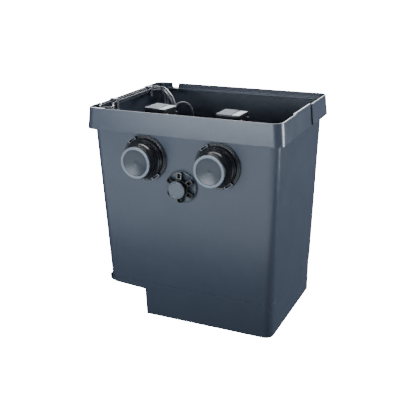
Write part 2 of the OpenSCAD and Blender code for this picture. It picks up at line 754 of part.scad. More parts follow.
module shaft_bush(s) {
  color(label_grey) at_pump(s) difference() {
    translate([0, 0, bush_z + 0.2]) cylinder(r = bush_seat_r - 0.1, h = 11.6, $fn = 48);
    translate([0, 0, bush_z - 1]) cylinder(r = bush_bore_r, h = 20, $fn = 48);
  }
}

module motor_housing(s) {
  z0 = motor_z[0];
  z1 = motor_z[1];
  fins = 18;
  color(motor_grey) at_pump(s) difference() {
    union() {
      translate([0, 0, z0]) cylinder(r = volute_flange_r, h = 8, $fn = 96);
      translate([0, 0, z0]) cylinder(r = motor_r, h = z1 - z0 - 2, $fn = 96);
      for (i = [0 : fins - 1]) rotate([0, 0, i * 360 / fins + 10])
        translate([motor_r - 1, -1, z0 + 8]) cube([7, 2, z1 - z0 - 18]);
      rotate([0, 0, s < 0 ? head_turn_left : head_turn_right]) translate([0, 0, z1 - 3])
        cube([head_size[0] - 6, head_size[1] - 6, 6], center = true);
    }
    translate([0, 0, z0 - 1]) cylinder(r = can_r, h = bush_z - z0 + 1, $fn = 96);
    translate([0, 0, z0]) cylinder(r = bush_seat_r, h = bush_z - z0 + 12, $fn = 48);
    screw_holes(z0 - 1, z0 + 9);
  }
}

module volute_screws() {
  z0 = motor_z[0];
  color(steel) for (s = [-1, 1]) at_pump(s) at_screws() {
    translate([0, 0, z0 - 12]) cylinder(r = screw_r, h = 20.2, $fn = 24);
    translate([0, 0, z0 + 8.1]) cylinder(r = 3.9, h = 3.6, $fn = 24);
  }
}

// Casing of the motor's electronics, with cooling fins on the left of its top
module pump_head(s) {
  hx = head_size[0] / 2;
  hy = head_size[1] / 2;
  t = 3;
  z0 = head_z[0];
  z1 = head_z[1];
  fin_x = [-hx + 5, 9];
  color(gloss_black) at_head(s) difference() {
    union() {
      loft([ring_at(hx, hy, 7, z0), ring_at(hx, hy, 7, z0 + 20), ring_at(hx - 1.5, hy - 1.5, 6, z1)]);
      for (x = [fin_x[0] : fin_pitch : fin_x[1]]) translate([x, -hy + 5, z1 - 1])
        cube([3, 2 * hy - 10, fin_top_z - z1 + 1]);
    }
    loft([ring_at(hx - t, hy - t, 5, z0 - 1), ring_at(hx - t - 1, hy - t - 1, 5, z1 - t)]);
    translate([gland_x, 0, gland_z]) disc_y(gland_r + 0.2, 60, 30, 32);
    translate([hx - label_inset, 0, z1 - 0.6]) cube([label_w + 0.6, 2 * hy - 16, 1.3], center = true);
  }
}

module head_label(s) {
  color(label_grey) at_head(s) translate([head_size[0] / 2 - label_inset, 0, head_z[1] - 0.55])
    cube([label_w, head_size[1] - 16.6, 1.2], center = true);
}

// Two light screws high on each head's right side
module head_screws() {
  color(steel) for (s = [-1, 1]) at_head(s) for (y = [-30, 30])
    translate([head_size[0] / 2 + 0.1, y, 834]) rotate([0, 90, 0]) cylinder(r = 3.2, h = 3, $fn = 24);
}

// Nut and tapered strain relief on the back of a head
module cable_gland(s) {
  nut_end = 7.3;
  color(gloss_black) at_head(s) translate([gland_x, gland_y, gland_z]) rotate([-90, 0, 0]) {
    translate([0, 0, -4]) cylinder(r = gland_r, h = 6, $fn = 32);
    translate([0, 0, 1.4]) cylinder(r = 11, h = 6, $fn = 6);
    translate([0, 0, nut_end]) cylinder(r1 = 9, r2 = 5.4, h = gland_len - nut_end, $fn = 32);
  }
}

module suction_pipe(s) {
  color(tub_grey) at_pump(s) difference() {
    union() {
      translate([0, 0, pipe_z[0]]) cylinder(r = pipe_r, h = pipe_z[1] - pipe_z[0] - 12, $fn = 96);
      translate([0, 0, pipe_z[1] - 22]) cylinder(r = hose_r + 4, h = 30, $fn = 96);
    }
    translate([0, 0, pipe_z[0] - 1]) cylinder(r = pipe_bore_r, h = 500, $fn = 96);
    translate([0, 0, volute_z[0] - 25.2]) cylinder(r = hose_r + 0.1, h = 50, $fn = 96);
  }
}

// Slotted basket that stands on the sump floor and carries the pump
module foot_strainer(s) {
  rows = [24, 68];
  slot = [14, 5, 38];
  color(gloss_black) at_pump(s) difference() {
    union() {
      translate([0, 0, foot_z]) cylinder(r = strainer_r - 2, h = pipe_z[0] + 16 - foot_z, $fn = 96);
      translate([0, 0, foot_z]) cylinder(r = strainer_r, h = 8, $fn = 96);
      translate([0, 0, pipe_z[0] - 20]) cylinder(r = strainer_r, h = 36, $fn = 96);
    }
    translate([0, 0, foot_z + 5]) cylinder(r = strainer_r - 5, h = pipe_z[0] - foot_z - 14, $fn = 96);
    translate([0, 0, foot_z + 6]) cylinder(r = pipe_bore_r, h = 300, $fn = 96);
    translate([0, 0, pipe_z[0] - 0.2]) cylinder(r = pipe_r + 0.1, h = 40, $fn = 96);
    for (z = rows, i = [0 : strainer_slots - 1]) rotate([0, 0, i * 360 / strainer_slots])
      translate([strainer_r - 12, -slot[1] / 2, z]) cube(slot);
  }
}

// ---- Cables ----

// Frame on the raised floor with its origin at the middle of coil k
module on_floor(k) {
  translate([coil_x, coil_y[k], floor_at(coil_x) + on_floor_gap]) rotate([0, floor_tilt, 0]) children();
}

module cable(k) {
  color(rubber_black) {
    sweep(k == 0 ? route_left : route_right, cable_r);
    on_floor(k) sweep(tail_route, cable_r);
  }
}

// Outer shape of a wound coil
module cable_coil(k) {
  color(rubber_black) on_floor(k) rotate_extrude($fn = 96)
    translate([coil_r[0], 0]) square([coil_r[1] - coil_r[0], coil_h]);
}

// Mains plug lying beside its coil, with its two pins pointing along the floor
module plug(k) {
  grip_r = 18;
  grip_end = 60;
  pin_gap = 19;
  color(rubber_black) on_floor(k) translate([plug_dx, plug_dy, plug_rise]) rotate([0, 90, 0]) {
    rotate_extrude($fn = 48) polygon([
      [0, 0], [5.5, 0], [8, 22], [14, 27], [grip_r, 34], [grip_r, grip_end - 2], [grip_r - 1.5, grip_end],
      [0, grip_end]]);
    for (y = [-pin_gap / 2, pin_gap / 2])
      translate([0, y, grip_end - 1]) cylinder(r = 2.4, h = 20, $fn = 24);
  }
}

tub_front_wall();
tub_back_wall();
tub_left_wall();
tub_right_wall();
tub_floor();
cable_hooks();
outlet_gasket(-1);  // outlet_gasket_left
outlet_gasket(1);  // outlet_gasket_right
outlet_bulkhead(-1);  // outlet_bulkhead_left
outlet_bulkhead(1);  // outlet_bulkhead_right
outlet_locknut(-1);  // outlet_locknut_left
outlet_locknut(1);  // outlet_locknut_right
outlet_collar(-1);  // outlet_collar_left
outlet_collar(1);  // outlet_collar_right
outlet_barrel(-1);  // outlet_barrel_left
outlet_barrel(1);  // outlet_barrel_right
outlet_cap(-1);  // outlet_cap_left
outlet_cap(1);  // outlet_cap_right
cap_ring(-1);  // cap_ring_left
cap_ring(1);  // cap_ring_right
drain_gasket();
drain_bulkhead();
drain_locknut();
drain_tail();
drain_slip_ring();
drain_star_nut();
drain_cap();
inlet_seal(-1);  // inlet_seal_left
inlet_seal(1);  // inlet_seal_right
coupling_sleeve(-1);  // coupling_sleeve_left
coupling_sleeve(1);  // coupling_sleeve_right
hose_clamps();
pump_volute(-1);  // pump_volute_left
pump_volute(1);  // pump_volute_right
impeller(-1);  // impeller_left
impeller(1);  // impeller_right
rotor_shaft(-1);  // rotor_shaft_left
rotor_shaft(1);  // rotor_shaft_right
shaft_bush(-1);  // shaft_bush_left
shaft_bush(1);  // shaft_bush_right
motor_housing(-1);  // motor_housing_left
motor_housing(1);  // motor_housing_right
volute_screws();
pump_head(-1);  // pump_head_left
pump_head(1);  // pump_head_right
head_label(-1);  // head_label_left
head_label(1);  // head_label_right
head_screws();
cable_gland(-1);  // cable_gland_left
cable_gland(1);  // cable_gland_right
suction_pipe(-1);  // suction_pipe_left
suction_pipe(1);  // suction_pipe_right
foot_strainer(-1);  // foot_strainer_left
foot_strainer(1);  // foot_strainer_right
cable(0);  // cable_left
cable(1);  // cable_right
cable_coil(0);  // cable_coil_left
cable_coil(1);  // cable_coil_right
plug(0);  // plug_left
plug(1);  // plug_right
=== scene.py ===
"""Looks of a pond filter's pump chamber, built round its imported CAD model.

The scene is in metres. The tub, outlets, drain and pump heads are drawn in millimetres and scaled by MM.
"""

import math

import bmesh
import bpy
from mathutils import Matrix, Quaternion, Vector


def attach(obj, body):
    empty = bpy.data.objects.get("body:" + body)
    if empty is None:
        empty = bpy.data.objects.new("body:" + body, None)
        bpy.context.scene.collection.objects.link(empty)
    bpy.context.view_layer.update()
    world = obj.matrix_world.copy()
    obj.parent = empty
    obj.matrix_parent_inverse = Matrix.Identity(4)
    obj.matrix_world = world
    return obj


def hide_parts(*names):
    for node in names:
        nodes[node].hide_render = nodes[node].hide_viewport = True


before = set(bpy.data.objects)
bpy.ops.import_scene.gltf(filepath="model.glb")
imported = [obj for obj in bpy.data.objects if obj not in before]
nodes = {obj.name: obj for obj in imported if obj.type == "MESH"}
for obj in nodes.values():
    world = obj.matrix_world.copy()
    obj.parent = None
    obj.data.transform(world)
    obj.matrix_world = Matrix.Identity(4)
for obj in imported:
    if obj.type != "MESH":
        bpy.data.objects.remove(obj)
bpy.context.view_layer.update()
SIDES = ("left", "right")
MM = 0.001


def mm(*values):
    """A point given in millimetres."""
    return Vector(values) * MM


# ---- Camera ----


CAMERA_PLACE = (1.1541, -2.5514, 1.4366)
CAMERA_TARGET = Vector((-0.0111, 0, 0.3969))
CAMERA_ROLL = -0.8
LENS = 61.3


def add_camera():
    """The photo's view."""
    data = bpy.data.cameras.new("camera")
    data.sensor_width = 36
    data.lens = LENS
    data.clip_end = 50
    camera = bpy.data.objects.new("camera", data)
    bpy.context.collection.objects.link(camera)
    camera.location = CAMERA_PLACE
    roll = Quaternion((0, 0, 1), math.radians(CAMERA_ROLL))
    camera.rotation_mode = "QUATERNION"
    camera.rotation_quaternion = (CAMERA_TARGET - camera.location).to_track_quat("-Z", "Y") @ roll
    bpy.context.scene.camera = camera


add_camera()


# ---- Materials ----


class Shader:
    """A node material, with short calls for the nodes that the materials here need."""

    def __init__(self, name):
        self.material = bpy.data.materials.new(name)
        self.material.use_nodes = True
        self.tree = self.material.node_tree
        self.surface = self.tree.nodes["Principled BSDF"]
        self.place = self.node("ShaderNodeTexCoord").outputs["Object"]

    def node(self, kind, **inputs):
        made = self.tree.nodes.new(kind)
        for key, value in inputs.items():
            self.feed(made.inputs[key.replace("_", " ")], value)
        return made

    def feed(self, socket, value):
        if isinstance(value, bpy.types.NodeSocket):
            self.tree.links.new(value, socket)
        else:
            socket.default_value = value

    def noise(self, scale, detail=4.0, stretch=None):
        place = self.place
        if stretch:
            place = self.node("ShaderNodeMapping", Vector=place, Scale=stretch).outputs["Vector"]
        return self.node("ShaderNodeTexNoise", Vector=place, Scale=scale, Detail=detail).outputs["Fac"]

    def spread(self, value, low, high, at=(0.35, 0.65)):
        """value, mapped from the range at to low..high."""
        made = self.node("ShaderNodeMapRange", Value=value, From_Min=at[0], From_Max=at[1])
        self.feed(made.inputs["To Min"], low)
        self.feed(made.inputs["To Max"], high)
        return made.outputs["Result"]

    def blend(self, factor, a, b):
        made = self.tree.nodes.new("ShaderNodeMix")
        made.data_type = "RGBA"
        self.feed(made.inputs["Factor"], factor)
        self.feed(made.inputs["A"], (*a, 1) if isinstance(a, tuple) else a)
        self.feed(made.inputs["B"], (*b, 1) if isinstance(b, tuple) else b)
        return made.outputs["Result"]

    def bump(self, height, strength, distance, under=None):
        made = self.node("ShaderNodeBump", Strength=strength, Distance=distance, Height=height)
        if under:
            self.feed(made.inputs["Normal"], under)
        return made.outputs["Normal"]

    def set(self, **inputs):
        for key, value in inputs.items():
            if isinstance(value, tuple):
                value = (*value, 1)
            self.feed(self.surface.inputs[key.replace("_", " ")], value)
        return self.material


def moulded(name, colour, roughness, grain, grain_depth, specular=0.5):
    """Moulded plastic: a slightly uneven colour and gloss, a fine grain, and very shallow flow waves."""
    s = Shader(name)
    darker = tuple(c * 0.94 for c in colour)
    speck = tuple(min(1, c * 1.5 + 0.004) for c in colour)
    tone = s.blend(s.spread(s.noise(5, 4), 0, 1), colour, darker)
    specks = s.spread(s.noise(420, 2), 0, 1, (0.66, 0.78))
    tone = s.blend(s.spread(specks, 0, 0.4, (0, 1)), tone, speck)
    dull = s.spread(s.noise(17, 4), roughness * 0.92, roughness * 1.08)
    fine = s.bump(s.noise(grain, 3), 0.3, grain_depth)
    waves = s.bump(s.noise(6, 1), 0.12, 0.0008, fine)
    return s.set(Base_Color=tone, Roughness=dull, Normal=waves, Specular_IOR_Level=specular)


def rubber(name, colour, roughness):
    """Rubber: nearly black, with a dusty bloom and a soft pebble."""
    s = Shader(name)
    bloom = s.spread(s.noise(38, 6), 0, 1, (0.45, 0.7))
    tone = s.blend(bloom, colour, tuple(c * 1.7 + 0.004 for c in colour))
    dull = s.spread(s.noise(60, 3), roughness * 0.85, roughness * 1.15)
    return s.set(Base_Color=tone, Roughness=dull, Normal=s.bump(s.noise(1500, 2), 0.3, 0.0002))


def metal(name, colour, roughness):
    """Stainless steel with turned lines."""
    s = Shader(name)
    lines = s.noise(700, 3, (1, 1, 14))
    dull = s.spread(lines, roughness * 0.7, roughness * 1.3)
    tone = s.blend(s.spread(s.noise(30, 4), 0, 1), colour, tuple(c * 0.8 for c in colour))
    return s.set(Base_Color=tone, Metallic=1.0, Roughness=dull, Normal=s.bump(lines, 0.2, 0.0001))


TUB = moulded("tub_plastic", (0.042, 0.051, 0.072), 0.32, 1400, 0.0002, 0.42)
BLACK = moulded("black_plastic", (0.011, 0.011, 0.013), 0.4, 1700, 0.0002)
GLOSS = moulded("gloss_black_plastic", (0.014, 0.015, 0.018), 0.22, 2300, 0.00005, 0.5)
CAP = moulded("grey_cap_plastic", (0.03, 0.036, 0.046), 0.36, 1500, 0.0001, 0.36)
PIPE = moulded("pipe_grey_plastic", (0.11, 0.118, 0.13), 0.35, 900, 0.0001)
RUBBER = rubber("rubber", (0.009, 0.009, 0.010), 0.6)
SHEATH = moulded("cable_sheath", (0.05, 0.056, 0.072), 0.3, 1500, 0.00004, 0.6)
LABEL = moulded("blank_label", (0.5, 0.52, 0.55), 0.55, 2600, 0.00005, 0.3)
FLANGE = moulded("flange_plastic", (0.034, 0.042, 0.054), 0.22, 1900, 0.00008)
STEEL = metal("stainless_steel", (0.5, 0.5, 0.51), 0.3)
CERAMIC = moulded("ceramic", (0.6, 0.59, 0.55), 0.25, 2000, 0.00004)
# The hooks' light grey is partly their own colour and partly a painted highlight along their edges.
CLIP_GREY_AND_HIGHLIGHT = moulded("clip_grey_and_painted_highlight", (0.14, 0.15, 0.18), 0.32, 1500, 0.0001)
# The collar's lugs, a lighter and glossier copy of its black: a painted highlight.
LUG_PAINTED_HIGHLIGHT = moulded("lug_painted_highlight", (0.09, 0.102, 0.12), 0.2, 1900, 0.00005, 0.7)
NUT = moulded("star_nut_plastic", (0.008, 0.0085, 0.01), 0.36, 1900, 0.00008, 0.42)
# The cap's rim ring, a lighter copy of the cap's grey: a painted highlight.
CAP_RIM_PAINTED_HIGHLIGHT = moulded("cap_rim_painted_highlight", (0.13, 0.15, 0.18), 0.3, 1500, 0.00008, 0.5)
PLUG_CAP = moulded("drain_cap_plastic", (0.062, 0.074, 0.092), 0.36, 1500, 0.0001, 0.5)
FINS = moulded("fin_plastic", (0.36, 0.385, 0.43), 0.5, 2000, 0.00008, 0.3)


# ---- Mesh helpers ----


def finished(name, mesh_or_bm, material, body="root_tub", replaces=(), flat_over=35):
    """Makes the piece, smooth up to the angle flat_over, ties it to its body, and hides the CAD nodes that
    it replaces.
    """
    mesh = mesh_or_bm
    if isinstance(mesh_or_bm, bmesh.types.BMesh):
        bmesh.ops.recalc_face_normals(mesh_or_bm, faces=mesh_or_bm.faces)
        mesh = bpy.data.meshes.new(name)
        mesh_or_bm.to_mesh(mesh)
        mesh_or_bm.free()
    mesh.materials.clear()
    mesh.materials.append(material)
    piece = bpy.data.objects.new(name, mesh)
    bpy.context.collection.objects.link(piece)
    smooth(piece, flat_over)
    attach(piece, body)
    if replaces:
        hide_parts(*replaces)
    return piece


def smooth(piece, flat_over):
    """Shades a piece smooth, with sharp edges where it bends by more than flat_over degrees."""
    bpy.ops.object.select_all(action="DESELECT")
    bpy.context.view_layer.objects.active = piece
    piece.select_set(True)
    bpy.ops.object.shade_smooth_by_angle(angle=math.radians(flat_over))
    weigh = piece.modifiers.new("normals", "WEIGHTED_NORMAL")
    weigh.keep_sharp = True
    weigh.weight = 80


def soften(piece, width, place=0):
    """Rounds the sharp edges of a piece by a bevel, at the given place among its modifiers."""
    bevel = piece.modifiers.new("edges", "BEVEL")
    bevel.width = width
    bevel.segments = 2
    bevel.limit_method = "ANGLE"
    bevel.angle_limit = math.radians(32)
    bevel.use_clamp_overlap = True
    bevel.harden_normals = False
    piece.modifiers.move(len(piece.modifiers) - 1, place)


def rounded(points, radius, steps=3, closed=True):
    """The outline with each corner turned into an arc of at most that radius."""
    out = []
    count = len(points)
    for i, p in enumerate(points):
        p = Vector(p)
        if not closed and i in (0, count - 1):
            out.append(p)
            continue
        a, b = Vector(points[i - 1]) - p, Vector(points[(i + 1) % count]) - p
        r = radius[i] if isinstance(radius, (list, tuple)) else radius
        cut = min(r, 0.45 * a.length, 0.45 * b.length)
        if cut < 1e-5 or abs(a.normalized().dot(b.normalized())) > 0.995:
            out.append(p)
            continue
        start, end = p + a.normalized() * cut, p + b.normalized() * cut
        for k in range(steps + 1):
            t = k / steps
            out.append(start * (1 - t) ** 2 + p * 2 * t * (1 - t) + end * t * t)
    return out


def lathe(profile, centre, axis="y", segments=128):
    """Solid of revolution: profile holds (radius, place along the axis), and centre is on the axis."""
    bm = bmesh.new()
    rows = []
    for r, along in profile:
        row = []
        for k in range(segments if r > 1e-6 else 1):
            a = 2 * math.pi * k / segments
            across, up = r * math.cos(a), r * math.sin(a)
            if axis == "y":
                row.append(bm.verts.new((centre[0] + across, along, centre[2] + up)))
            else:
                row.append(bm.verts.new((centre[0] + across, centre[1] + up, along)))
        rows.append(row)
    closed = profile[0][0] > 1e-6 and profile[-1][0] > 1e-6
    for i in range(len(rows) if closed else len(rows) - 1):
        a, b = rows[i], rows[(i + 1) % len(rows)]
        for k in range(max(len(a), len(b))):
            quad = [a[k % len(a)], a[(k + 1) % len(a)], b[(k + 1) % len(b)], b[k % len(b)]]
            quad = list(dict.fromkeys(quad))
            if len(quad) > 2:
                bm.faces.new(quad)
    return bm


def ring(x0, x1, y0, y1, r, z, steps=14):
    """Rounded rectangle at height z."""
    centres = ((x1 - r, y0 + r, -90), (x1 - r, y1 - r, 0), (x0 + r, y1 - r, 90), (x0 + r, y0 + r, 180))
    points = []
    for cx, cy, start in centres:
        for k in range(steps + 1):
            a = math.radians(start + 90 * k / steps)
            points.append(Vector((cx + r * math.cos(a), cy + r * math.sin(a), z)))
    return points


def lofted(sections):
    """Closed solid through rings of equal counts."""
    bm = bmesh.new()
    rows = [[bm.verts.new(p) for p in s] for s in sections]
    for a, b in zip(rows, rows[1:]):
        for k in range(len(a)):
            bm.faces.new([a[k], a[(k + 1) % len(a)], b[(k + 1) % len(b)], b[k]])
    bm.faces.new(rows[0])
    bm.faces.new(rows[-1])
    bmesh.ops.recalc_face_normals(bm, faces=bm.faces)
    return bm


def prism(outline, direction):
    """Solid that carries a flat outline along a direction."""
    return lofted([outline, [p + direction for p in outline]])


def temporary(bm):
    """An object that holds the bmesh while it is cut or staged."""
    mesh = bpy.data.meshes.new("tool")
    bm.to_mesh(mesh)
    bm.free()
    made = bpy.data.objects.new("tool", mesh)
    bpy.context.collection.objects.link(made)
    return made


def combine(base, tool, operation):
    """Applies one boolean to base and deletes the tool."""
    cut = base.modifiers.new("cut", "BOOLEAN")
    cut.operation = operation
    cut.solver = "EXACT"
    cut.object = tool
    result = bpy.data.meshes.new_from_object(base.evaluated_get(bpy.context.evaluated_depsgraph_get()))
    base.modifiers.clear()
    base.data = result
    bpy.data.objects.remove(tool)
    return base


def along_y(points, y, depth):
    """Prism of points (x, z) in millimetres, from y towards -Y by depth."""
    return prism([mm(x, y, z) for x, z in points], mm(0, -depth, 0))


def joined(*parts):
    """One bmesh that holds all the parts."""
    whole = bmesh.new()
    for part in parts:
        mesh = bpy.data.meshes.new("part")
        part.to_mesh(mesh)
        part.free()
        whole.from_mesh(mesh)
        bpy.data.meshes.remove(mesh)
    return whole


def shaped(base, *steps):
    """Mesh of base after each (operation, tool) step, all given as bmeshes."""
    piece = temporary(base)
    for operation, tool in steps:
        combine(piece, temporary(tool), operation)
    mesh = piece.data
    bpy.data.objects.remove(piece)
    return mesh


def turned(points, x, z, fillet=0.8, segments=128):
    """Solid of revolution about the line (x, z) along Y, from points (radius, y), all in millimetres."""
    outline = [(r * MM, y * MM) for r, y in rounded(points, fillet, 3, closed=points[0][0] > 0)]
    return lathe(outline, (x * MM, 0, z * MM), "y", segments)


# ---- Cables ----

CABLE_D = 0.008
# Points in millimetres, from each pump's gland through the hank on the left rim to its coil
GLAND_TO_COIL = {
    "left": [
        (-146.9, -69.5, 826), (-145, -56, 826), (-143.4, -43.5, 829), (-141, -32, 835), (-136, -22, 841),
        (-127.7, -13, 844.8), (-117.4, -5, 844.5), (-107, 1, 840.2), (-97.5, 5, 832), (-90.7, 7, 821),
        (-87, 8, 808.7), (-85.5, 8, 793), (-84, 9, 766), (-86, 12, 742), (-94, 16, 721), (-108, 21, 708),
        (-126, 27, 704), (-144, 32, 710), (-160, 37, 724), (-171, 42, 745), (-179, 46, 772), (-185, 51, 798),
        (-192, 60, 819), (-203, 73, 834), (-218, 89, 842), (-235, 109, 846), (-253, 131, 849),
        (-272, 154, 851.5), (-290, 176, 853), (-307, 192.5, 854.5), (-319, 202.4, 855), (-332, 205.8, 854.6),
        (-344.7, 203.6, 853.6), (-355.2, 196.6, 852.4), (-362.1, 186.2, 851.2), (-364.5, 174, 850.5),
        (-364.5, 80, 850.2), (-364.5, -20, 850.2), (-364.5, -125, 850.2), (-362, -143, 850.2),
        (-355, -159, 850.4), (-345, -174, 850.8), (-335, -188, 851.2), (-327.6, -202, 851.8),
        (-325, -216, 852.4), (-328.5, -228.5, 853), (-337.8, -237.8, 853.6), (-350.3, -241.3, 854.2),
        (-362.8, -237.8, 854.5), (-372, -228.5, 854.6), (-375.3, -215, 854.6), (-375.3, -190, 854.6),
        (-375.3, -80, 854.6), (-375.3, 60, 854.6), (-375.3, 190, 854.6), (-372.9, 202.4, 854.6),
        (-366, 212.8, 854.6), (-355.6, 220.2, 853.7), (-343.6, 224, 850), (-331, 225.5, 843),
        (-319.5, 225, 832), (-310.8, 222.5, 816.5), (-305.8, 218.5, 798), (-303.6, 213, 770),
        (-304, 205, 700), (-309, 200, 560), (-316, 198, 400), (-321.5, 197, 260), (-322.5, 197, 219),
        (-322.5, 194.4, 204.7), (-322.4, 187, 193.8), (-322.2, 176, 186.3), (-321.8, 163, 183.5)],
    "right": [
        (143.5, -69.7, 826), (144, -56, 826), (145.5, -41, 822.5), (147, -27, 813.5), (147.5, -15, 799),
        (145, -5, 777), (137, 6, 743), (121, 17, 708), (98, 27, 678), (70, 35, 657),
        (36, 42, 645), (-8, 47, 641), (-54, 51, 646), (-98, 56, 660), (-140, 62, 682),
        (-173, 67, 710), (-193, 70, 742), (-203, 72, 772), (-209, 75, 799), (-216, 82, 819),
        (-228, 93, 831), (-243, 108, 838), (-259, 127, 841.5), (-276, 148, 843.5), (-292, 168, 845),
        (-307, 185.5, 845.8), (-319, 195.4, 846), (-332, 198.8, 845.6), (-344.7, 196.6, 844.8),
        (-355.2, 189.6, 843.8), (-362.1, 179.2, 842.6), (-364.5, 167, 842),
        (-364.5, 80, 841.8), (-364.5, -20, 841.8), (-364.5, -125, 841.8), (-362, -143, 841.8),
        (-355, -159, 842), (-345, -174, 842.4), (-335, -188, 842.8), (-327.6, -202, 843.4),
        (-325, -216, 844), (-328.5, -228.5, 844.6), (-337.8, -237.8, 845.2), (-350.3, -241.3, 845.8),
        (-362.8, -237.8, 846.1), (-372, -228.5, 846.2), (-375.3, -215, 846.2), (-375.3, -190, 846.2),
        (-375.3, -80, 846.2), (-375.3, 60, 846.2), (-375.3, 190, 846.2), (-372.9, 202.2, 846.3),
        (-365.9, 212.8, 846.3), (-356, 220.5, 844.8), (-345, 224.5, 840), (-334.5, 225, 832),
        (-326, 223, 820.5), (-320.5, 219, 805), (-317.8, 212, 783), (-318, 182, 609),
        (-319, 157, 491), (-320, 107, 333), (-321, 57, 243), (-322, 7, 198), (-322.2, -18, 188),
        (-321.8, -43, 183.5)]}
# The same from a coil's outside to its plug, measured from the coil's middle on the raised floor
TAIL = [
    (-70.8, -2, 4.4), (-70.8, -26, 4.4), (-70, -46, 4.8), (-67, -66, 6.5), (-60, -83, 9.5),
    (-48.5, -95.5, 13.5), (-35, -101.5, 17.5), (-22, -102, 18.6), (-16, -102, 18.6)]
COIL_X = -0.260
COIL_Y = {"left": 0.176, "right": -0.030}
COIL_INNER_R = 0.0335
COIL_OUTER_R = 0.0665
COIL_H = 0.049
COLUMNS, LAYERS = 4, 6
STEPS_PER_TURN = 48
FLOOR_SLOPE = 11 / 168
FLOOR_TILT = math.atan(FLOOR_SLOPE)
FLOOR_Z = 0.121 + (-0.185 - COIL_X) * FLOOR_SLOPE + 0.0003
PLUG_START = (-15.9, -102, 18.6)
TIE_TURNS = (38, 262)
TIE_W = 0.005
TIE_T = 0.001


def floor_place(side):
    """Transform from a coil's own frame, on the raised floor, to the scene."""
    return Matrix.Translation((COIL_X, COIL_Y[side], FLOOR_Z)) @ Matrix.Rotation(FLOOR_TILT, 4, "Y")


def through(points, gap):
    """A smooth line (centripetal Catmull-Rom) through the points, with points about gap apart."""
    points = [2 * points[0] - points[1], *points, 2 * points[-1] - points[-2]]
    line = []
    for a, b, c, d in zip(points, points[1:], points[2:], points[3:]):
        t1 = (b - a).length ** 0.5
        t2 = t1 + (c - b).length ** 0.5
        t3 = t2 + (d - c).length ** 0.5
        steps = max(1, round((c - b).length / gap))
        for k in range(steps):
            t = t1 + (t2 - t1) * k / steps
            ab = a * (t1 - t) / t1 + b * t / t1
            bc = b * (t2 - t) / (t2 - t1) + c * (t - t1) / (t2 - t1)
            cd = c * (t3 - t) / (t3 - t2) + d * (t - t2) / (t3 - t2)
            abc = ab * (t2 - t) / t2 + bc * t / t2
            bcd = bc * (t3 - t) / (t3 - t1) + cd * (t - t1) / (t3 - t1)
            line.append(abc * (t2 - t) / (t2 - t1) + bcd * (t - t1) / (t2 - t1))
    line.append(points[-2])
    return line


def coil_line(landing, leaving):
    """The turns between two points in the coil's frame: down from the top, layer by layer."""
    pitch = (COIL_OUTER_R - COIL_INNER_R - CABLE_D) / (COLUMNS - 1)
    rise = (COIL_H - CABLE_D) / (LAYERS - 1)
    slots = []
    for layer in range(LAYERS):
        columns = range(COLUMNS - 1, -1, -1) if layer % 2 == 0 else range(COLUMNS)
        z = COIL_H - CABLE_D / 2 - layer * rise
        slots += [(COIL_INNER_R + CABLE_D / 2 + c * pitch, z) for c in columns]
    begin = math.atan2(landing.y, landing.x)
    end = math.atan2(leaving.y, leaving.x)
    extra = ((end - begin) % (2 * math.pi)) / (2 * math.pi)
    line = []
    r_before, z_before = math.hypot(landing.x, landing.y), landing.z
    turns = len(slots) - 1 + extra
    for k in range(1, int(turns * STEPS_PER_TURN)):
        turn = k / STEPS_PER_TURN
        r, z = slots[int(turn)]
        part = turn - int(turn)
        if int(turn):
            r_before, z_before = slots[int(turn) - 1]
        ramp = 0.35 if turn < 1 else 0.22
        if part < ramp:
            t = part / ramp
            t = t * t * (3 - 2 * t)
            r, z = r_before + (r - r_before) * t, z_before + (z - z_before) * t
        a = begin + 2 * math.pi * turn
        line.append(Vector((r * math.cos(a), r * math.sin(a), z)))
    return line[:-3]


def cable_line(side):
    """The whole cable, from its gland through the hank and the coil to the plug."""
    here = floor_place(side)
    route = [mm(*p) for p in GLAND_TO_COIL[side]]
    tail = [mm(*p) for p in TAIL]
    turns = coil_line(here.inverted() @ route[-1], tail[0])
    wound = [route[-1], *[here @ p for p in turns], here @ tail[0]]
    end = [here @ p for p in tail]
    return through(route, 0.004)[:-1] + through(wound, 0.0065)[:-1] + through(end, 0.004)


def add_cable(side):
    line = cable_line(side)
    curve = bpy.data.curves.new(f"cable_run_{side}", "CURVE")
    curve.dimensions = "3D"
    curve.bevel_depth = CABLE_D / 2
    curve.bevel_resolution = 3
    curve.use_fill_caps = True
    spline = curve.splines.new("POLY")
    spline.points.add(len(line) - 1)
    for point, place in zip(spline.points, line):
        point.co = (*place, 1)
    spline.use_smooth = True
    curve.materials.append(SHEATH)
    piece = bpy.data.objects.new(f"cable_run_{side}", curve)
    bpy.context.collection.objects.link(piece)
    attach(piece, "root_tub")
    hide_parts(f"cable_{side}", f"cable_coil_{side}")
    return piece, line


def tie_band(low, high):
    """A band round the section of a coil, from low to high on the radius."""
    top = COIL_H + TIE_T
    outline = rounded([(low, -0.0002), (high, -0.0002), (high, top), (low, top)], 0.004)
    inside = rounded([(low + TIE_T, 0.0008), (high - TIE_T, 0.0008), (high - TIE_T, COIL_H),
                      (low + TIE_T, COIL_H)], 0.0035)
    bm = bmesh.new()
    half = TIE_W / 2
    rows = [[bm.verts.new((p[0], y, p[1])) for p in line]
            for line, y in ((outline, -half), (outline, half), (inside, half), (inside, -half))]
    for a, b in zip(rows, rows[1:] + rows[:1]):
        for k in range(len(a)):
            bm.faces.new([a[k], a[(k + 1) % len(a)], b[(k + 1) % len(b)], b[k]])
    return bm


